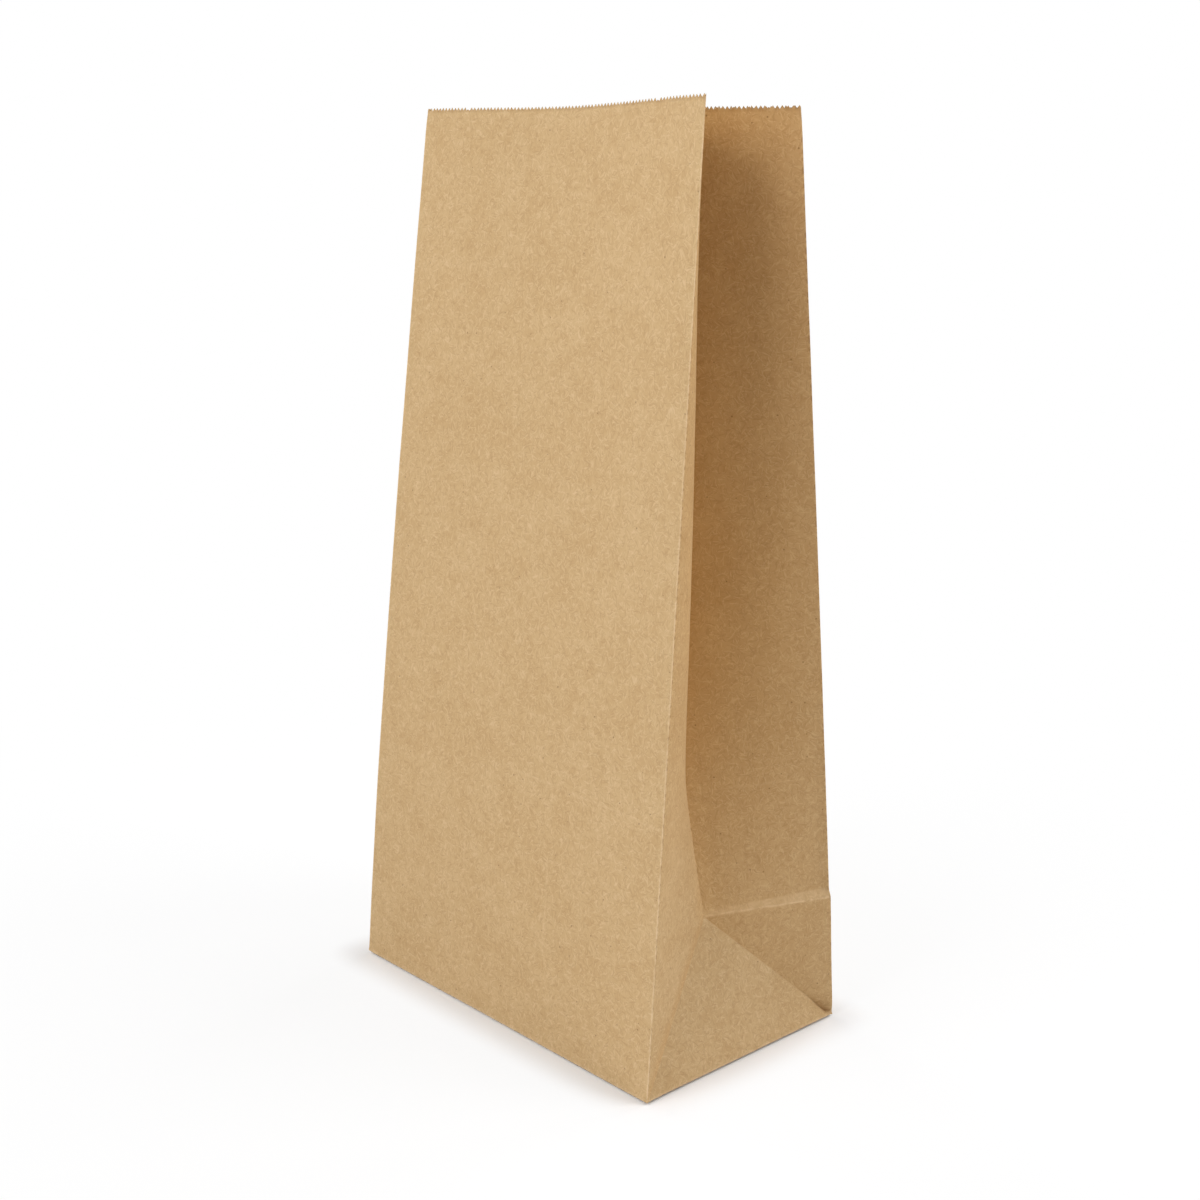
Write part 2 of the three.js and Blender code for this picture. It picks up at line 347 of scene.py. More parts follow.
# The mouth: teeth cut into the top edge
teeth = {
    "pitch": 1.51,
    "depth": 0.95,
    "rootDrop": 0.55,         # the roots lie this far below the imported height
    "wear": 0.1,              # a tooth is shorter by up to this share
    "lean": 0.16,             # and leans sideways by up to this, in millimetres
    "torn": 0.04,             # share of the teeth that are torn short
    "seed": 7,
    "outline": (0.0, 0.5, 1.0, 0.5),
    "band": 3.0,              # height of the facets below the teeth
    "rowsBelow": (0.7, 0.06, 0.0),
}
rootLine = bag["height"] - teeth["rootDrop"]

# Soft waves that stay in paper after folding
cockle = {"height": 0.16, "size": 38.0, "seed": 3.0}


class PaperSheet:  # points, faces and per-point marks of the folded sheet
    def __init__(self):
        self.points, self.faces, self.sheetMap = [], [], []
        self.toothPhase, self.toothNumber, self.paperUp, self.paperAcross = [], [], [], []

    def add(self, point):
        self.points.append(tuple(point))
        self.toothPhase.append(0.0)
        self.toothNumber.append(0)
        self.paperUp.append((0.0, 0.0, 1.0))
        self.paperAcross.append((0.0, 0.0, 0.0))
        return len(self.points) - 1

    def face(self, corners):
        used = []
        for index, place in corners:
            if not used or index != used[-1][0]:
                used.append((index, place))
        if len(used) > 2 and used[0][0] == used[-1][0]:
            used.pop()
        if len({index for index, _ in used}) > 2:
            self.faces.append([index for index, _ in used])
            self.sheetMap.append([place for _, place in used])

    # Closes the gap between two rows of one strip; a row is (point numbers, stops, map places)
    def close(self, low, high):
        lowIds, lowStops, lowMap = low
        highIds, highStops, highMap = high
        if len(lowIds) == len(highIds) and np.allclose(lowStops, highStops):
            for i in range(len(lowIds) - 1):
                self.face([(lowIds[i], lowMap[i]), (lowIds[i + 1], lowMap[i + 1]),
                           (highIds[i + 1], highMap[i + 1]), (highIds[i], highMap[i])])
            return
        i = j = 0
        while i + 1 < len(lowIds) or j + 1 < len(highIds):
            nextLow = lowStops[i + 1] if i + 1 < len(lowIds) else 9.0
            nextHigh = highStops[j + 1] if j + 1 < len(highIds) else 9.0
            if nextLow <= nextHigh:
                third = (lowIds[i + 1], lowMap[i + 1])
                self.face([(lowIds[i], lowMap[i]), third, (highIds[j], highMap[j])])
                i += 1
            else:
                third = (highIds[j + 1], highMap[j + 1])
                self.face([(lowIds[i], lowMap[i]), third, (highIds[j], highMap[j])])
                j += 1


sheet = PaperSheet()


def fromBaseFold(strip, t, width):  # distance from the fold between base triangle and rear half
    return (t if strip in (3, 6) else 1 - t) * width


# Small damage that depends only on where a point is
def handled(points, strip, t, v, width):
    for side in (-1, 1):
        corner = frontEdge(side, 0)
        away = np.linalg.norm(points - corner, axis=1)
        push = wear["ear"] * np.clip(1 - away / wear["earReach"], 0, 1) ** 2
        points[:, 0] += side * push * wear["earLean"]
        points[:, 1] -= push * wear["earLean"]
    if v < bag["crease"] and strip in (2, 3, 5, 6):  # groove along the rear base folds
        side = 1 if strip in (2, 3) else -1
        toCorner = v / bag["crease"] * math.hypot(rearHalf, bag["crease"])
        depth = wear["groove"] * smooth(1 - toCorner / wear["grooveReach"])
        depth = depth * smooth(toCorner / wear["grooveStart"])
        sink = depth * np.exp(-(fromBaseFold(strip, t, width) / wear["grooveWidth"]) ** 2)
        points[:, 0] -= side * sink * wear["grooveLean"][0]
        points[:, 1] -= sink * wear["grooveLean"][1]
    return points


def apexShare(strip, stops, v):  # 0 at the gusset apex line, 1 at the rear edge and over the rear panel
    if strip == 4:
        return np.ones(len(stops))
    return 1 - (1 - (stops if strip == 3 else 1 - stops)) * lowShare(v)


def rowStops(width):
    return foldStops(width) if width > facets["least"] else np.array([0.0])


def sheetPoints(strip, stops, v, width):
    points = strips[strip]["place"](stops, v)
    points[:, 2] += footLift(strip, stops, v)
    if strip in (3, 4, 5):  # the rear crease isn't quite straight
        start = strips[strip]["ends"](v)[0]
        nearCrease = np.exp(-(aboveCrease(apexShare(strip, stops, v), v) / 0.9) ** 2)
        points[:, 2] += wear["creaseJag"] * nearCrease * wander(start + stops * width, 1.7)
    return handled(points, strip, stops, v, width)


# One closed row of points round the bag
def ringRow(v, stopsOf):
    row, first, last = [], None, None
    for strip in range(len(strips)):
        start, end = strips[strip]["ends"](v)
        width = end - start
        stops = stopsOf(width)
        points = sheetPoints(strip, stops, v, width)
        ids = []
        for k, t in enumerate(stops):
            if k == 0 and last is not None:
                ids.append(last)
                continue
            if strip == len(strips) - 1 and k == len(stops) - 1 and k > 0:
                ids.append(first)
                continue
            ids.append(sheet.add(points[k]))
            if first is None:
                first = ids[0]
        last = ids[-1]
        row.append((ids, stops, [(start + t * width, v) for t in stops]))
    return row


def heights():
    crease, top = bag["crease"], rootLine - teeth["band"]
    low = foldStops(crease) * crease
    rise = top - crease
    high = foldStops(rise) * rise
    keep = high[high < rise - teeth["band"]]
    band = np.arange(crease - wear["bandDrop"] - 0.6, crease - 0.2, facets["creaseStep"])
    low = [h for h in low if h < band[0] - 0.2 or h > band[-1] + 0.1]
    return sorted(low + list(band)) + [crease + h for h in keep[1:]] + [top]


def toothStops(width):
    if width < facets["least"]:
        return np.array([0.0])
    count = round(width / teeth["pitch"]) * len(teeth["outline"])
    return np.arange(count + 1) / count


print("sheet: walls")
levels = heights()
rings = [ringRow(v, rowStops) for v in levels]
topRows = [rootLine - below for below in teeth["rowsBelow"]]
rings += [ringRow(v, toothStops) for v in topRows]
for low, high in zip(rings, rings[1:]):
    for strip in range(len(strips)):
        sheet.close(low[strip], high[strip])


# Marks the cut edge with the place of each tooth, for the tree that raises the teeth
def markTeeth(row, place, firstTooth):
    ids, stops, _ = row
    top, under = place(stops, bag["height"]), place(stops, bag["height"] - 2.0)
    upward = top - under
    upward /= np.linalg.norm(upward, axis=1)[:, None]
    across = np.gradient(top, axis=0)
    across /= np.linalg.norm(across, axis=1)[:, None]
    steps = len(teeth["outline"])
    for k, index in enumerate(ids):
        sheet.toothPhase[index] = teeth["outline"][k % steps]
        sheet.toothNumber[index] = firstTooth + k // steps
        sheet.paperUp[index] = tuple(upward[k])
        sheet.paperAcross[index] = tuple(across[k])
    return firstTooth + len(ids) // steps


toothCount = 0
for strip in (0, 1, 3, 4, 5, 7):
    toothCount = markTeeth(rings[-1][strip], strips[strip]["place"], toothCount)

# The lap up the back: the outer end of the sheet, free at its left edge only
print("sheet: lap")
lap = {
    "stops": (0.0, 0.5, 1.3, 3.0, 5.0, 7.0, 9.0, 10.8, 11.6, 12.0),
    "lift": (0.15, 1.06),     # it stands off by these shares of the paper, where it starts and beyond
    "rise": 1.6,
    "mapGap": 2.0,            # its patch of the sheet map lies this far from the rest
}
lapStops = np.array(lap["stops"]) / bag["seamLap"]
lapLevels = [v for v in levels if v > facets["least"]]


def lapShare(stops):  # place across the rear panel
    return (bag["seamPlace"] + stops * bag["seamLap"]) / bag["width"]


def lapRow(stops, v):
    points = sheetPoints(4, lapShare(stops), v, bag["width"])
    points[:, 1] += bag["paper"] * lerp(*lap["lift"], smooth(stops * bag["seamLap"] / lap["rise"]))
    ids = [sheet.add(point) for point in points]
    return ids, stops, [(girth + lap["mapGap"] + s * bag["seamLap"], v) for s in stops]


lapRows = [lapRow(lapStops, v) for v in lapLevels]
lapRows += [lapRow(toothStops(bag["seamLap"]), v) for v in topRows]
for low, high in zip(lapRows, lapRows[1:]):
    sheet.close(low, high)
markTeeth(lapRows[-1], lambda stops, v: rearPanel(lapShare(stops), v), toothCount)

# Folded bottom: front flap outermost, rear flap above it, side flaps and turned corners inside
print("sheet: bottom")
flapDepths = foldStops(flapLength * 2) * flapLength * 2
flapDepths = [d for d in flapDepths if 0 < d < flapLength - 0.5] + [flapLength]


def endFlap(strip, sideY, layer):  # flap on the front or rear panel, with its two turned corners
    above = rings[0][strip]
    corners = {-1: ([above[0][0]], np.array([0.0]), [above[2][0]]),
               1: ([above[0][-1]], np.array([0.0]), [above[2][-1]])}
    for depth in flapDepths:
        half = halfWidth - depth
        t = above[1]
        x = lerp(-half, half, t) * (1 if sideY < 0 else -1)
        points = np.stack([x, np.full(len(t), sideY * (halfDepth - depth)),
                           np.full(len(t), bottomLevel(layer, depth))], axis=1)
        ids = [sheet.add(point) for point in points]
        start = strips[strip]["ends"](0)[0]
        row = (ids, t, [(start + halfWidth + (2 * s - 1) * half, -depth) for s in t])
        sheet.close(row, above)
        above = row
        for end in (-1, 1):  # the corner is folded back over the flap along the diagonal
            stops = foldStops(depth)
            sideX = end * (1 if sideY < 0 else -1)
            lift = smooth(stops * depth / bottom["turnRise"])
            turned = np.stack([np.full(len(stops), sideX * half),
                               sideY * (halfDepth - depth + stops * depth * bottom["turnShare"]),
                               bottomLevel(layer, depth * (1 - stops)) + layerLevel["corner"] * lift], axis=1)
            cornerIds = [ids[0 if end < 0 else -1]] + [sheet.add(point) for point in turned[1:]]
            places = [(start + halfWidth + end * (half + s * depth), -depth) for s in stops]
            newRow = (cornerIds, stops, places)
            if end > 0:
                sheet.close(newRow, corners[end])
            else:
                flipped = [(r[0][::-1], 1 - r[1][::-1], r[2][::-1]) for r in (newRow, corners[end])]
                sheet.close(flipped[0], flipped[1])
            corners[end] = newRow


def sideFlap(strip, sideX):
    above = rings[0][strip]
    for depth in flapDepths:
        t = above[1]
        y = lerp(-1.0, 1.0, t) * (halfDepth - bottom["sideInset"]) * sideX
        points = np.stack([np.full(len(t), sideX * (halfWidth - depth)), y,
                           np.full(len(t), bottomLevel("side", depth))], axis=1)
        ids = [sheet.add(point) for point in points]
        start, end = strips[strip]["ends"](0)
        row = (ids, t, [(lerp(start, end, s), -depth) for s in t])
        sheet.close(row, above)
        above = row


endFlap(0, -1, "front")
endFlap(4, 1, "rear")
sideFlap(2, 1)
sideFlap(6, -1)


def openFold(strip, stops):  # True on the half of a gusset strip that is nearer to a broad face
    return stops < 0.5 if strip in (1, 5) else stops > 0.5


# Marks beside the folds, read by the paper material: strengths, and sizes in millimetres
marks = {
    "bandEase": (0.25, 0.7),      # the pale band of rub and painted highlight above the rear crease starts and ends over these
    "bandOver": 0.3,
    "creaseRubAndHighlight": (0.15, 0.32),    # height and width of the pale line on that crease, a rub and painted highlight
    "lapRub": (0.5, 0.35),        # strength and width of the pale rub on the edge of the lap, of the pale rub and painted highlight on the edges of the broad faces and along the foot
    "edgeRubAndHighlight": (0.95, 0.3),       # on the edges of the broad faces
    "footRubAndHighlight": (0.7, 0.55),       # and along the foot
    "foldShadeLine": (0.2, 0.24),      # place and width of the painted shade line beside a gusset fold
    "foldRubAndShading": 0.4,               # strength of the pale rub and painted highlight there
    "innerFold": (0.3, 0.7),      # share of both that inner folds show, below and above the crease
    "gussetShadeRise": (20.0, 130.0),  # the painted gusset shade deepens from this height, over this rise
    "gussetShadeRear": (0.4, 0.62),    # rear halves: share at the foot, loss towards the rear edge
    "gussetShadeFront": (0.12, 0.4),   # front halves and base: share at the foot, strength
    "valley": (0.22, 4.5, 25.0),  # shade where front half and base meet: strength, width, fade
    "corner": (0.5, 11.0),        # width and height of the shade in the rear base folds
    "cutHeight": 0.5,             # the cut edge is darker down to this below the roots
}


def foldMarks():
    pale, dark, band, cutEdgeAndCornerShade, gussetShade = (np.zeros(len(sheet.points)) for _ in range(5))
    gap = np.full(len(sheet.points), 9.0)

    def strongest(target, ids, values):
        np.maximum.at(target, ids, values)

    # pale rub and painted highlight, fading with distance
    def rubAndHighlight(ids, distance, strength, width):
        strongest(pale, ids, strength * np.exp(-(distance / width) ** 2))

    # pale band of rub and painted highlight above the rear crease, with a pale line on it
    def creaseMarks(ids, share, v):
        above = aboveCrease(share, v)
        fading = smooth((bandHeight(share) + marks["bandOver"] - above) / marks["bandEase"][1])
        strongest(band, ids, smooth(above / marks["bandEase"][0]) * fading)
        rubAndHighlight(ids, above - marks["creaseRubAndHighlight"][0], 1.0, marks["creaseRubAndHighlight"][1])

    def cutEdge(ids, v):
        strongest(cutEdgeAndCornerShade, ids, float(smooth((v - rootLine + marks["cutHeight"]) / marks["cutHeight"])))

    for (ids, stops, _), v in zip(lapRows, lapLevels + topRows):  # the lap carries the crease on
        creaseMarks(ids, np.ones(len(ids)), v)
        rubAndHighlight(ids, (1 - stops) * bag["seamLap"], *marks["lapRub"])
        cutEdge(ids, v)
    for row, v in zip(rings, levels + topRows):
        rise = float(smooth((v - marks["gussetShadeRise"][0]) / marks["gussetShadeRise"][1]))
        innerFold = marks["innerFold"][0 if v < bag["crease"] else 1]
        for strip, (ids, stops, _) in enumerate(row):
            start, end = strips[strip]["ends"](v)
            near = np.minimum(stops, 1 - stops) * (end - start)
            np.minimum.at(gap, ids, np.minimum(near, v))
            if strip in (0, 4):  # broad faces show a pale rub and painted highlight beside the fold
                rubAndHighlight(ids, near, *marks["edgeRubAndHighlight"])
            else:
                # gusset folds: a painted shade line beside the fold, and a pale rub and painted highlight on
                # it
                baseFold = marks["innerFold"][0]
                soft = baseFold if strip in (2, 6) else np.where(openFold(strip, stops), 1.0, innerFold)
                fromLine = (near - marks["foldShadeLine"][0]) / marks["foldShadeLine"][1]
                strongest(dark, ids, soft * np.exp(-fromLine ** 2))
                rubAndHighlight(ids, near, marks["foldRubAndShading"] * soft, marks["edgeRubAndHighlight"][1])
            if strip in (3, 4, 5):
                creaseMarks(ids, apexShare(strip, stops, v), v)
            if strip in (3, 5):  # painted shade in the rear halves, darker towards the gusset fold and higher up
                foot, loss = marks["gussetShadeRear"]
                strongest(gussetShade, ids, (1 - loss * apexShare(strip, stops, v)) * lerp(foot, 1.0, rise))
            elif strip not in (0, 4):
                # painted shade over the front halves and base triangles too, deeper higher up
                foot, strength = marks["gussetShadeFront"]
                shade = np.full(len(ids), strength * lerp(foot, 1.0, rise))
                if strip in (1, 7):  # and a soft shade where the front half meets the base triangle
                    strength, width, fade = marks["valley"]
                    valley = (1 - stops if strip == 1 else stops) * (end - start)
                    low = float(smooth((bag["crease"] + fade - v) / fade))
                    shade += strength * np.exp(-(valley / width) ** 2) * low
                strongest(gussetShade, ids, shade)
            if strip in (2, 3, 5, 6):  # painted shade in the rear base folds at their corners
                width, height = marks["corner"]
                fromFold = fromBaseFold(strip, stops, end - start)
                strongest(cutEdgeAndCornerShade, ids, np.exp(-(fromFold / width) ** 2) * float(smooth(1 - v / height)))
            rubAndHighlight(ids, v, *marks["footRubAndHighlight"])
            cutEdge(ids, v)
    return pale, dark, band, cutEdgeAndCornerShade, gussetShade, gap


print("sheet: folds")
paleRub, darkRub, bandRub, cutRub, gussetShadeMask, foldGap = foldMarks()
places = np.array(sheet.points)

# Round the folds: points close to a fold move towards their neighbours
links = np.array(sorted({(min(a, b), max(a, b)) for f in sheet.faces for a, b in zip(f, f[1:] + f[:1])}))
degree = np.bincount(links.ravel(), minlength=len(places))
loose = np.where(foldGap < facets["roundReach"])[0]
rim = np.array(sheet.toothPhase) > 0
loose = loose[~rim[loose]]
for _ in range(facets["rounding"]):
    total = np.zeros_like(places)
    np.add.at(total, links[:, 0], places[links[:, 1]])
    np.add.at(total, links[:, 1], places[links[:, 0]])
    places[loose] = lerp(places[loose], (total / degree[:, None])[loose], 0.5)

flatMesh = bpy.data.meshes.new("kraftSheet")
flatMesh.from_pydata([Vector(p) * mm for p in places], [], sheet.faces)
sheetUv = flatMesh.uv_layers.new(name="sheetMap")
flatPlaces = [place for corners in sheet.sheetMap for place in corners]
sheetUv.data.foreach_set("uv", (np.array(flatPlaces) * mm).astype(np.float32).ravel())


def mark(name, kind, values, field):
    layer = flatMesh.attributes.new(name, kind, "POINT")
    layer.data.foreach_set(field, np.asarray(values).ravel())


mark("toothPhase", "FLOAT", np.array(sheet.toothPhase, dtype=np.float32), "value")
mark("toothNumber", "INT", np.array(sheet.toothNumber, dtype=np.int32), "value")
mark("paperUp", "FLOAT_VECTOR", np.array(sheet.paperUp, dtype=np.float32), "vector")
mark("paperAcross", "FLOAT_VECTOR", np.array(sheet.paperAcross, dtype=np.float32), "vector")
for name, values in (("paleRub", paleRub), ("darkRub", darkRub), ("bandRub", bandRub), ("cutRub", cutRub),
                     ("gussetShadeMask", gussetShadeMask)):
    mark(name, "FLOAT", values.astype(np.float32), "value")
flatMesh.update()
print("sheet:", len(flatMesh.vertices), "points,", len(flatMesh.polygons), "faces")


# Node helpers
def addNode(tree, kind, at=(0, 0), **settings):
    made = tree.nodes.new(kind)
    made.location = at
    for key, value in settings.items():
        setattr(made, key, value)
    return made


def wire(tree, source, target):
    tree.links.new(source, target)


def feed(tree, value, socket):  # a number is set, an output is wired
    if isinstance(value, (int, float)):
        socket.default_value = value
    else:
        wire(tree, value, socket)


def mathNode(tree, operation, a, b=None, clamp=False):
    made = addNode(tree, "ShaderNodeMath", operation=operation, use_clamp=clamp)
    feed(tree, a, made.inputs[0])
    if b is not None:
        feed(tree, b, made.inputs[1])
    return made.outputs[0]


def weighted(tree, *parts):  # sum of values, each times its share
    total = None
    for value, share in parts:
        part = mathNode(tree, "MULTIPLY", value, share)
        total = part if total is None else mathNode(tree, "ADD", total, part)
    return total


# The tree that raises the teeth and lays the soft waves into the paper
def mouthTree():
    tree = bpy.data.node_groups.new("serratedMouth", "GeometryNodeTree")
    tree.is_modifier = True
    face = tree.interface
    face.new_socket("Geometry", in_out="INPUT", socket_type="NodeSocketGeometry")
    for name in ("Tooth Depth", "Tooth Wear", "Tooth Lean", "Torn Share", "Wave Height", "Wave Scale"):
        face.new_socket(name, in_out="INPUT", socket_type="NodeSocketFloat")
    face.new_socket("Seed", in_out="INPUT", socket_type="NodeSocketInt")
    face.new_socket("Material", in_out="INPUT", socket_type="NodeSocketMaterial")
    face.new_socket("Geometry", in_out="OUTPUT", socket_type="NodeSocketGeometry")
    given = addNode(tree, "NodeGroupInput", (-1200, 0))
    result = addNode(tree, "NodeGroupOutput", (1200, 0))

    def named(name, kind):
        made = addNode(tree, "GeometryNodeInputNamedAttribute", data_type=kind)
        made.inputs["Name"].default_value = name
        return made.outputs["Attribute"]

    def chance(low, high, shift):
        made = addNode(tree, "FunctionNodeRandomValue", data_type="FLOAT")
        floats = [s for s in made.inputs if s.type == "VALUE"]
        for socket, value in zip(floats, (low, high)):
            feed(tree, value, socket)
        wire(tree, named("toothNumber", "INT"), made.inputs["ID"])
        wire(tree, mathNode(tree, "ADD", given.outputs["Seed"], shift), made.inputs["Seed"])
        return next(s for s in made.outputs if s.type == "VALUE")

    def scaled(vector, factor):
        made = addNode(tree, "ShaderNodeVectorMath", operation="SCALE")
        wire(tree, vector, made.inputs[0])
        wire(tree, factor, made.inputs["Scale"])
        return made.outputs[0]

    phase = named("toothPhase", "FLOAT")
    shorter = mathNode(tree, "SUBTRACT", 1.0, chance(0.0, given.outputs["Tooth Wear"], 0))
    torn = mathNode(tree, "LESS_THAN", chance(0.0, 1.0, 11), given.outputs["Torn Share"])
    keep = mathNode(tree, "SUBTRACT", 1.0, mathNode(tree, "MULTIPLY", torn, chance(0.4, 0.85, 23)))
    rise = mathNode(tree, "MULTIPLY", mathNode(tree, "MULTIPLY", phase, given.outputs["Tooth Depth"]),
                    mathNode(tree, "MULTIPLY", shorter, keep))
    sideways = mathNode(tree, "MULTIPLY", phase, mathNode(tree, "MULTIPLY", chance(-1.0, 1.0, 37),
                                                         given.outputs["Tooth Lean"]))
    toothMove = addNode(tree, "ShaderNodeVectorMath", operation="ADD")
    wire(tree, scaled(named("paperUp", "FLOAT_VECTOR"), rise), toothMove.inputs[0])
    wire(tree, scaled(named("paperAcross", "FLOAT_VECTOR"), sideways), toothMove.inputs[1])
    cutTeeth = addNode(tree, "GeometryNodeSetPosition", (200, 0))
    wire(tree, given.outputs["Geometry"], cutTeeth.inputs["Geometry"])
    wire(tree, toothMove.outputs[0], cutTeeth.inputs["Offset"])

    # waves fade out at the foot, where the layers lie flat
    position = addNode(tree, "GeometryNodeInputPosition")
    split = addNode(tree, "ShaderNodeSeparateXYZ")
    wire(tree, position.outputs[0], split.inputs[0])
    footFade = mathNode(tree, "DIVIDE", split.outputs["Z"], 0.03, clamp=True)
    noise = addNode(tree, "ShaderNodeTexNoise", noise_dimensions="4D")
    wire(tree, position.outputs[0], noise.inputs["Vector"])
    wire(tree, given.outputs["Wave Scale"], noise.inputs["Scale"])
    noise.inputs["W"].default_value = cockle["seed"]
    noise.inputs["Detail"].default_value = 1.5
    centred = mathNode(tree, "MULTIPLY", mathNode(tree, "SUBTRACT", noise.outputs[0], 0.5), 2.0)
    faded = mathNode(tree, "MULTIPLY", centred, footFade)
    lift = mathNode(tree, "MULTIPLY", faded, given.outputs["Wave Height"])
    normal = addNode(tree, "GeometryNodeInputNormal")
    waves = addNode(tree, "GeometryNodeSetPosition", (500, 0))
    wire(tree, cutTeeth.outputs[0], waves.inputs["Geometry"])
    wire(tree, scaled(normal.outputs[0], lift), waves.inputs["Offset"])

    real = addNode(tree, "GeometryNodeRealizeInstances", (800, 0))
    paint = addNode(tree, "GeometryNodeSetMaterial", (1000, 0))
    wire(tree, waves.outputs[0], real.inputs[0])
    wire(tree, real.outputs[0], paint.inputs["Geometry"])
    wire(tree, given.outputs["Material"], paint.inputs["Material"])
    wire(tree, paint.outputs[0], result.inputs[0])
    return tree


# Kraft paper: colours are linear
kraft = {
    "tone": (0.585, 0.405, 0.212),
    "deepTone": (0.53, 0.352, 0.172),
    "paleFibre": (0.72, 0.545, 0.33),
    "darkFibre": (0.4, 0.245, 0.105),
    "speck": (0.2, 0.11, 0.045),
    "rubAndHighlight": (0.79, 0.61, 0.39),
    "shaded": (0.36, 0.21, 0.09),
    "gussetShade": (0.9, 0.69, 0.4),   # what the painted gusset shade keeps of each colour
    "insideTone": (0.575, 0.398, 0.208),
    "insideDeep": (0.51, 0.338, 0.165),
}


# An empty shader group that reads the sheet map and some marks, and puts out values
def groupShell(name, marksIn, valuesOut):
    tree = bpy.data.node_groups.new(name, "ShaderNodeTree")
    tree.interface.new_socket("Sheet", in_out="INPUT", socket_type="NodeSocketVector")
    for label in marksIn:
        tree.interface.new_socket(label, in_out="INPUT", socket_type="NodeSocketFloat")
    for label in valuesOut:
        tree.interface.new_socket(label, in_out="OUTPUT", socket_type="NodeSocketFloat")
    return tree, addNode(tree, "NodeGroupInput", (-900, 0)), addNode(tree, "NodeGroupOutput", (900, 0))


def noiseValue(tree, vector, scale, detail=2.0, rough=0.5, shift=0.0, twist=0.0):
    made = addNode(tree, "ShaderNodeTexNoise", noise_dimensions="3D")
    moved = addNode(tree, "ShaderNodeVectorMath", operation="ADD")
    wire(tree, vector, moved.inputs[0])
    moved.inputs[1].default_value = (0.0, 0.0, shift)
    wire(tree, moved.outputs[0], made.inputs["Vector"])
    made.inputs["Detail"].default_value = detail
    made.inputs["Roughness"].default_value = rough
    made.inputs["Distortion"].default_value = twist
    made.inputs["Scale"].default_value = scale
    return made.outputs[0]


def ramped(tree, value, low, high, outLow=0.0, outHigh=1.0):
    made = addNode(tree, "ShaderNodeMapRange", interpolation_type="SMOOTHSTEP")
    wire(tree, value, made.inputs["Value"])
    for name, number in (("From Min", low), ("From Max", high), ("To Min", outLow), ("To Max", outHigh)):
        made.inputs[name].default_value = number
    return made.outputs[0]


# Fibres and marks in the paper: shares are how strongly each colour is laid over the tone
fibre = {
    "wide": (42.0, 0.34),     # clouds in the tone: noise scale per metre, and share
    "flock": (150.0, 0.4),
    "fine": (700.0, 0.26),
    "along": 330.0,           # noise scale along and across a fibre, per metre
    "across": 1900.0,
    "bend": 0.002,            # sideways curl, in metres
    "bendScale": 330.0,
    "paleAngles": (8.0, 52.0, 97.0, 141.0),
    "darkAngles": (31.0, 76.0, 118.0, 165.0),
    "least": 0.6,             # noise above this is a fibre
    "speckScale": 240.0,
    "speckRare": 0.93,
    "relief": {"grit": 0.5, "flock": 0.8, "fibre": 0.55},
    "paleShare": 0.4,
    "darkShare": 0.36,
    "speckShare": 0.6,
    "pressedShare": 0.12,
    "rubAndHighlightShare": 0.8,
    "shadedShare": 0.85,
}


# Short fibres lying one way: a noise drawn out along one direction and cut off high
def fibreLayer(tree, vector, angle, shift):
    turned = addNode(tree, "ShaderNodeVectorRotate", rotation_type="Z_AXIS")
    wire(tree, vector, turned.inputs["Vector"])
    turned.inputs["Angle"].default_value = math.radians(angle)
    drawn = addNode(tree, "ShaderNodeVectorMath", operation="MULTIPLY")
    wire(tree, turned.outputs[0], drawn.inputs[0])
    drawn.inputs[1].default_value = (fibre["along"], fibre["across"], 1.0)
    strokes = noiseValue(tree, drawn.outputs[0], 1.0, 1.0, 0.5, shift)
    return ramped(tree, strokes, fibre["least"], fibre["least"] + 0.1)


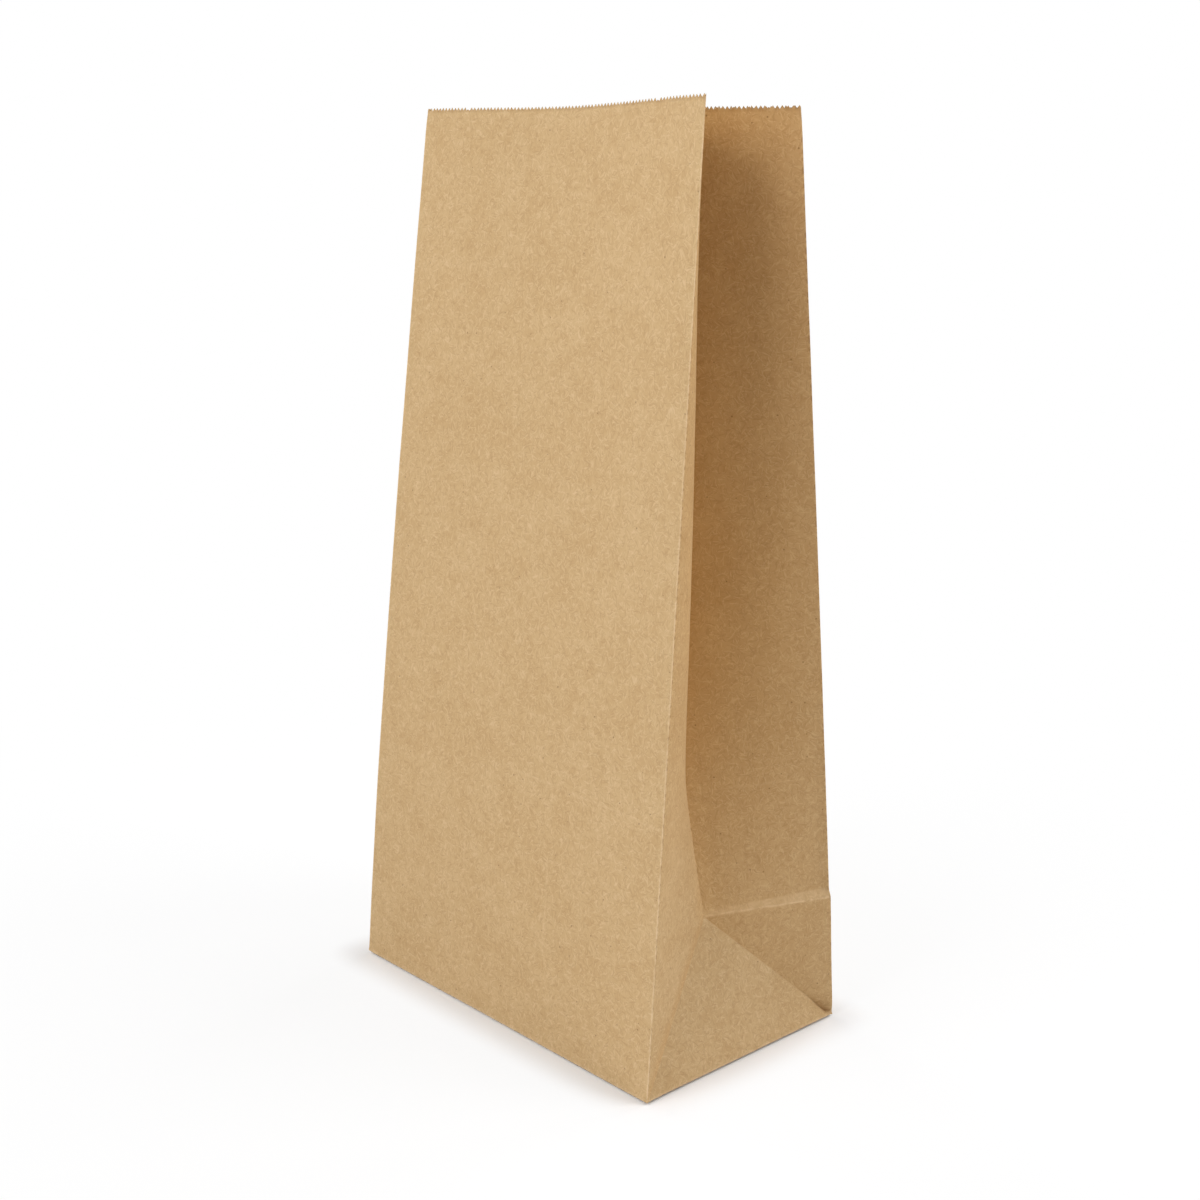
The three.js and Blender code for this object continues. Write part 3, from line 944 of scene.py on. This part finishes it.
def formationGroup():
    tree, given, result = groupShell("paperFormation", [],
                                     ["Cloud", "Pale Fibres", "Dark Fibres", "Specks", "Tooth"])
    sheetPlace = given.outputs["Sheet"]
    wide = noiseValue(tree, sheetPlace, fibre["wide"][0], 3.0, 0.55, 2.0)
    flock = noiseValue(tree, sheetPlace, fibre["flock"][0], 3.0, 0.6, 9.0, 0.4)
    fine = noiseValue(tree, sheetPlace, fibre["fine"][0], 2.0, 0.6, 17.0)
    cloud = weighted(tree, (flock, fibre["flock"][1]), (fine, fibre["fine"][1]), (wide, fibre["wide"][1]))
    wire(tree, ramped(tree, cloud, 0.36, 0.64), result.inputs["Cloud"])
    bend = addNode(tree, "ShaderNodeTexNoise", noise_dimensions="3D")  # fibres curl with this
    bend.inputs["Scale"].default_value = fibre["bendScale"]
    bend.inputs["Detail"].default_value = 0.0
    wire(tree, sheetPlace, bend.inputs["Vector"])
    curl = addNode(tree, "ShaderNodeVectorMath", operation="MULTIPLY_ADD")
    wire(tree, bend.outputs["Color"], curl.inputs[0])
    curl.inputs[1].default_value = (fibre["bend"], fibre["bend"], 0.0)
    wire(tree, sheetPlace, curl.inputs[2])

    def allFibres(angles, shift):
        most = None
        for number, angle in enumerate(angles):
            layer = fibreLayer(tree, curl.outputs[0], angle, shift + 13.0 * number)
            most = layer if most is None else mathNode(tree, "MAXIMUM", most, layer)
        return most

    pale = allFibres(fibre["paleAngles"], 40.0)
    dark = allFibres(fibre["darkAngles"], 110.0)
    wire(tree, pale, result.inputs["Pale Fibres"])
    wire(tree, dark, result.inputs["Dark Fibres"])
    cells = addNode(tree, "ShaderNodeTexVoronoi", feature="F1", voronoi_dimensions="2D")
    wire(tree, sheetPlace, cells.inputs["Vector"])
    cells.inputs["Scale"].default_value = fibre["speckScale"]
    pick = addNode(tree, "ShaderNodeSeparateColor")
    wire(tree, cells.outputs["Color"], pick.inputs[0])
    chosen = mathNode(tree, "GREATER_THAN", pick.outputs[0], fibre["speckRare"])
    size = mathNode(tree, "MULTIPLY", pick.outputs[1], 0.035)
    dot = ramped(tree, mathNode(tree, "SUBTRACT", cells.outputs["Distance"], size), 0.012, 0.045, 1.0, 0.0)
    wire(tree, mathNode(tree, "MULTIPLY", chosen, dot), result.inputs["Specks"])
    grit = noiseValue(tree, sheetPlace, 2600.0, 2.0, 0.6, 130.0)
    shares = fibre["relief"]
    relief = weighted(tree, (grit, shares["grit"]), (flock, shares["flock"]), (pale, shares["fibre"]))
    wire(tree, relief, result.inputs["Tooth"])
    return tree


# Pale lines of rub and painted highlight beside the folds, and lines of painted shade beside the folds, in
# their corners and along the cut edge, all broken up along their length
def rubAndShadingGroup():
    tree, given, result = groupShell("foldRubAndShading", ["Pale", "Dark", "Band", "Cut"], ["Rubbed", "Shaded"])
    sheetPlace = given.outputs["Sheet"]
    along = noiseValue(tree, sheetPlace, 420.0, 2.0, 0.6, 4.0)
    dots = noiseValue(tree, sheetPlace, 700.0, 1.0, 0.5, 23.0)
    rubAndHighlight = mathNode(tree, "MULTIPLY", given.outputs["Pale"], ramped(tree, along, 0.3, 0.62, 0.25, 0.95))
    band = mathNode(tree, "MULTIPLY", given.outputs["Band"], ramped(tree, along, 0.25, 0.7, 0.24, 0.46))
    brokenFoldShade = mathNode(tree, "MULTIPLY", given.outputs["Dark"], ramped(tree, dots, 0.48, 0.64, 0.0, 0.85))
    # darker cut edge and painted shade in the rear base corners, broken up
    cutEdgeAndCornerShading = mathNode(tree, "MULTIPLY", given.outputs["Cut"], ramped(tree, dots, 0.3, 0.7, 0.2, 0.6))
    wire(tree, mathNode(tree, "MAXIMUM", rubAndHighlight, band), result.inputs["Rubbed"])
    wire(tree, mathNode(tree, "MAXIMUM", brokenFoldShade, cutEdgeAndCornerShading), result.inputs["Shaded"])
    return tree


# Faint lines pressed into the sheet while the bag lay folded flat
pressed = {
    "baseEdge": bag["depth"],            # height of the line left by the folded bottom
    "flapEdge": bag["width"] / 2 - 19.0,
    "width": 0.7,
}


def pressedGroup():
    tree, given, result = groupShell("pressedLines", [], ["Pressed"])
    split = addNode(tree, "ShaderNodeSeparateXYZ")
    wire(tree, given.outputs["Sheet"], split.inputs[0])
    across, upward = split.outputs["X"], split.outputs["Y"]
    unsteady = noiseValue(tree, given.outputs["Sheet"], 60.0, 2.0, 0.5, 7.0)
    wobble = mathNode(tree, "MULTIPLY", mathNode(tree, "SUBTRACT", unsteady, 0.5), 0.0016)

    def lineAt(coordinate, place):
        off = mathNode(tree, "ADD", mathNode(tree, "SUBTRACT", coordinate, place * mm), wobble)
        return ramped(tree, mathNode(tree, "ABSOLUTE", off), 0.0, pressed["width"] * mm, 1.0, 0.0)

    level = lineAt(upward, pressed["baseEdge"])
    patchy = ramped(tree, noiseValue(tree, given.outputs["Sheet"], 35.0, 1.0, 0.5, 19.0), 0.42, 0.62)
    below = mathNode(tree, "LESS_THAN", upward, pressed["baseEdge"] * mm)
    uprights = mathNode(tree, "MAXIMUM", lineAt(across, pressed["flapEdge"]),
                        lineAt(across, bag["width"] - pressed["flapEdge"]))
    allLines = mathNode(tree, "MAXIMUM", level, mathNode(tree, "MULTIPLY", below, uprights))
    wire(tree, mathNode(tree, "MULTIPLY", allLines, patchy), result.inputs["Pressed"])
    return tree


formation, rubAndShadingTree, pressedMarks = formationGroup(), rubAndShadingGroup(), pressedGroup()


def kraftMaterial(name, tone, deepTone, rough, relief, gussetShadeShare):
    material = bpy.data.materials.new(name)
    material.use_nodes = True
    tree = material.node_tree
    tree.nodes.clear()
    out = addNode(tree, "ShaderNodeOutputMaterial", (1400, 0))
    shader = addNode(tree, "ShaderNodeBsdfPrincipled", (1100, 0))
    shader.inputs["Specular IOR Level"].default_value = 0.12
    wire(tree, shader.outputs[0], out.inputs["Surface"])
    flat = addNode(tree, "ShaderNodeUVMap", (-900, 0), uv_map="sheetMap")

    def placed(group, at):
        made = addNode(tree, "ShaderNodeGroup", at)
        made.node_tree = group
        wire(tree, flat.outputs[0], made.inputs["Sheet"])
        return made

    fibres = placed(formation, (-600, 200))
    rubAndShadingNode = placed(rubAndShadingTree, (-600, -200))
    lines = placed(pressedMarks, (-600, -500))
    for socket in ("Pale", "Dark", "Band", "Cut"):
        source = addNode(tree, "ShaderNodeAttribute", (-900, -300), attribute_name=socket.lower() + "Rub")
        wire(tree, source.outputs["Fac"], rubAndShadingNode.inputs[socket])

    def mixed(base, colour, factor, amount):
        made = addNode(tree, "ShaderNodeMix", data_type="RGBA", blend_type="MIX")
        wire(tree, base, made.inputs[6])
        made.inputs[7].default_value = (*colour, 1)
        wire(tree, mathNode(tree, "MULTIPLY", factor, amount), made.inputs[0])
        return made.outputs[2]

    ground = addNode(tree, "ShaderNodeMix", data_type="RGBA", blend_type="MIX")
    ground.inputs[6].default_value = (*deepTone, 1)
    ground.inputs[7].default_value = (*tone, 1)
    wire(tree, fibres.outputs["Cloud"], ground.inputs[0])
    colour = mixed(ground.outputs[2], kraft["paleFibre"], fibres.outputs["Pale Fibres"], fibre["paleShare"])
    colour = mixed(colour, kraft["darkFibre"], fibres.outputs["Dark Fibres"], fibre["darkShare"])
    colour = mixed(colour, kraft["speck"], fibres.outputs["Specks"], fibre["speckShare"])
    colour = mixed(colour, kraft["rubAndHighlight"], lines.outputs["Pressed"], fibre["pressedShare"])
    # pale rub and painted highlight, then painted shade, beside the folds
    colour = mixed(colour, kraft["rubAndHighlight"], rubAndShadingNode.outputs["Rubbed"], fibre["rubAndHighlightShare"])
    colour = mixed(colour, kraft["shaded"], rubAndShadingNode.outputs["Shaded"], fibre["shadedShare"])
    # painted shade in the gussets, multiplied over the colour
    gussetShading = addNode(tree, "ShaderNodeMix", data_type="RGBA", blend_type="MULTIPLY")
    gussetShade = addNode(tree, "ShaderNodeAttribute", (-900, -700), attribute_name="gussetShadeMask")
    wire(tree, mathNode(tree, "MULTIPLY", gussetShade.outputs["Fac"], gussetShadeShare), gussetShading.inputs[0])
    wire(tree, colour, gussetShading.inputs[6])
    gussetShading.inputs[7].default_value = (*kraft["gussetShade"], 1)
    wire(tree, gussetShading.outputs[2], shader.inputs["Base Color"])
    roughness = ramped(tree, fibres.outputs["Tooth"], 0.3, 1.3, rough - 0.08, rough + 0.06)
    wire(tree, roughness, shader.inputs["Roughness"])
    pressedIn = mathNode(tree, "MULTIPLY", lines.outputs["Pressed"], 0.8)
    height = mathNode(tree, "ADD", fibres.outputs["Tooth"], pressedIn)
    bump = addNode(tree, "ShaderNodeBump", (800, -400))
    bump.inputs["Strength"].default_value = relief
    bump.inputs["Distance"].default_value = 0.05 * mm
    wire(tree, height, bump.inputs["Height"])
    wire(tree, bump.outputs[0], shader.inputs["Normal"])
    return material


print("paper materials")
kraftOutside = kraftMaterial("kraftOutside", kraft["tone"], kraft["deepTone"], 0.84, 0.5, 1.0)
kraftInside = kraftMaterial("kraftInside", kraft["insideTone"], kraft["insideDeep"], 0.9, 0.6, 0.2)


# Runs the modifiers and keeps the result as a plain mesh
def settle(obj, name):
    evaluated = obj.evaluated_get(bpy.context.evaluated_depsgraph_get())
    plain = bpy.data.meshes.new_from_object(evaluated)
    plain.name = name
    obj.modifiers.clear()
    old, obj.data = obj.data, plain
    bpy.data.meshes.remove(old)


print("paper bag")
paperBag = bpy.data.objects.new("kraftPaperBag", flatMesh)
bpy.context.scene.collection.objects.link(paperBag)
mouth = paperBag.modifiers.new("mouthTeeth", "NODES")
mouth.node_group = mouthTree()
mouthInputs = {
    "Tooth Depth": teeth["depth"] * mm,
    "Tooth Wear": teeth["wear"],
    "Tooth Lean": teeth["lean"] * mm,
    "Torn Share": teeth["torn"],
    "Wave Height": cockle["height"] * mm,
    "Wave Scale": 1 / (cockle["size"] * mm),
    "Seed": teeth["seed"],
    "Material": kraftOutside,
}
for item in mouth.node_group.interface.items_tree:
    if item.in_out == "INPUT" and item.name in mouthInputs:
        mouth[item.identifier] = mouthInputs[item.name]
settle(paperBag, "kraftSheetCut")
for name in ("toothPhase", "toothNumber", "paperUp", "paperAcross"):
    if name in paperBag.data.attributes:
        paperBag.data.attributes.remove(paperBag.data.attributes[name])
while len(paperBag.data.materials) < 2:
    paperBag.data.materials.append(kraftInside)
thickness = paperBag.modifiers.new("paperThickness", "SOLIDIFY")
thickness.thickness = bag["paper"] * mm
thickness.offset = 0.0
thickness.use_quality_normals = True
thickness.material_offset = 1
thickness.material_offset_rim = 1
settle(paperBag, "kraftPaperBag")
paperBag.data.shade_smooth()
paperBag.data.set_sharp_from_angle(angle=math.radians(50))
print("paper bag:", sum(len(p.vertices) - 2 for p in paperBag.data.polygons), "triangles")

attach(paperBag, "root")
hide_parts("paper_bag")

# Studio: pale floor, white surround, soft light
studio = {
    "floorSize": 6.0,
    "floorColour": (0.86, 0.86, 0.87),
    "floorWhite": (0.05, 0.84, 1.0),      # share of plain white that the camera sees on the floor
    "whiteReach": (0.0, 0.014, 0.3),    # at these distances from the foot of the bag
    "ambient": 0.12,
    "lamps": {
        "front": {"at": (0.0, -1.21, 0.82), "size": 0.9, "power": 9.6},
        "frontTop": {"at": (-0.27, -0.75, 1.27), "size": 0.9, "power": 5.4},
        "rearRight": {"at": (0.842, 0.635, 1.07), "size": 0.9, "power": 12.2},
        "left": {"at": (-1.21, 0.0, 0.82), "size": 0.9, "power": 6.0},
        "rear": {"at": (0.0, 1.21, 0.82), "size": 0.9, "power": 8.4},
    },
    "aim": (0.0, 0.0, 0.12),
}

print("studio")
floorMesh = bpy.data.meshes.new("studioFloor")
reach = studio["floorSize"] / 2
floorCorners = [(-reach, -reach, 0), (reach, -reach, 0), (reach, reach, 0), (-reach, reach, 0)]
floorMesh.from_pydata(floorCorners, [], [(0, 1, 2, 3)])
floor = bpy.data.objects.new("studioFloor", floorMesh)
bpy.context.scene.collection.objects.link(floor)
floorPaint = bpy.data.materials.new("studioFloor")
floorPaint.use_nodes = True
floorTree = floorPaint.node_tree
floorTree.nodes.clear()
floorOut = addNode(floorTree, "ShaderNodeOutputMaterial", (600, 0))
matte = addNode(floorTree, "ShaderNodeBsdfDiffuse")
matte.inputs["Color"].default_value = (*studio["floorColour"], 1)
plainWhite = addNode(floorTree, "ShaderNodeEmission")
seen = addNode(floorTree, "ShaderNodeLightPath")
blendFloor = addNode(floorTree, "ShaderNodeMixShader")
around = addNode(floorTree, "ShaderNodeTexCoord")
acrossFloor = addNode(floorTree, "ShaderNodeSeparateXYZ")
wire(floorTree, around.outputs["Object"], acrossFloor.inputs[0])
outside = []
for axis, half in (("X", halfWidth), ("Y", halfDepth)):
    size = mathNode(floorTree, "ABSOLUTE", acrossFloor.outputs[axis])
    outside.append(mathNode(floorTree, "MAXIMUM", mathNode(floorTree, "SUBTRACT", size, half * mm), 0.0))
away = mathNode(floorTree, "SQRT", mathNode(floorTree, "ADD", mathNode(floorTree, "POWER", outside[0], 2.0),
                                            mathNode(floorTree, "POWER", outside[1], 2.0)))
whites, reaches = studio["floorWhite"], studio["whiteReach"]
nearWhite = ramped(floorTree, away, reaches[0], reaches[1], whites[0], whites[1])
farWhite = ramped(floorTree, away, reaches[1], reaches[2], 0.0, whites[2] - whites[1])
whiteShare = mathNode(floorTree, "ADD", nearWhite, farWhite)
shown = mathNode(floorTree, "MULTIPLY", seen.outputs["Is Camera Ray"], whiteShare)
wire(floorTree, shown, blendFloor.inputs[0])
wire(floorTree, matte.outputs[0], blendFloor.inputs[1])
wire(floorTree, plainWhite.outputs[0], blendFloor.inputs[2])
wire(floorTree, blendFloor.outputs[0], floorOut.inputs["Surface"])
floorMesh.materials.append(floorPaint)

world = bpy.data.worlds.new("studioWhite")
bpy.context.scene.world = world
world.use_nodes = True
worldTree = world.node_tree
worldTree.nodes.clear()
worldOut = addNode(worldTree, "ShaderNodeOutputWorld", (600, 0))
soft = addNode(worldTree, "ShaderNodeBackground")
soft.inputs["Strength"].default_value = studio["ambient"]
white = addNode(worldTree, "ShaderNodeBackground")
for back in (soft, white):
    back.inputs["Color"].default_value = (1, 1, 1, 1)
seenWorld = addNode(worldTree, "ShaderNodeLightPath")
blendWorld = addNode(worldTree, "ShaderNodeMixShader")
wire(worldTree, seenWorld.outputs["Is Camera Ray"], blendWorld.inputs[0])
wire(worldTree, soft.outputs[0], blendWorld.inputs[1])
wire(worldTree, white.outputs[0], blendWorld.inputs[2])
wire(worldTree, blendWorld.outputs[0], worldOut.inputs["Surface"])

for name, lampSettings in studio["lamps"].items():
    lamp = bpy.data.lights.new(name + "Lamp", "AREA")
    lamp.shape = "DISK"
    lamp.size = lampSettings["size"]
    lamp.energy = lampSettings["power"]
    lampObject = bpy.data.objects.new(name + "Lamp", lamp)
    lampObject.location = lampSettings["at"]
    aim = Vector(studio["aim"]) - Vector(lampSettings["at"])
    lampObject.rotation_euler = aim.to_track_quat("-Z", "Y").to_euler()
    bpy.context.scene.collection.objects.link(lampObject)

# Camera, fitted to the corners and folds of the bag
view = {
    "at": (374.1, -350.0, 251.2),
    "azimuth": math.radians(46.83),
    "pitch": math.radians(-13.85),
    "roll": math.radians(0.76),
    "lens": 52.81,
    "sensor": 36.0,
}
ahead = Vector((-math.sin(view["azimuth"]) * math.cos(view["pitch"]),
                math.cos(view["azimuth"]) * math.cos(view["pitch"]), math.sin(view["pitch"])))
level = Vector((math.cos(view["azimuth"]), math.sin(view["azimuth"]), 0))
upright = level.cross(ahead)
right = level * math.cos(view["roll"]) + upright * math.sin(view["roll"])
over = upright * math.cos(view["roll"]) - level * math.sin(view["roll"])
camera = bpy.data.cameras.new("photoCamera")
camera.lens = view["lens"]
camera.sensor_width = view["sensor"]
cameraObject = bpy.data.objects.new("photoCamera", camera)
cameraObject.matrix_world = Matrix((
    (right.x, over.x, -ahead.x, view["at"][0] * mm),
    (right.y, over.y, -ahead.y, view["at"][1] * mm),
    (right.z, over.z, -ahead.z, view["at"][2] * mm),
    (0, 0, 0, 1)))
bpy.context.scene.collection.objects.link(cameraObject)
bpy.context.scene.camera = cameraObject
bpy.context.scene.view_settings.view_transform = "Standard"


print("done")
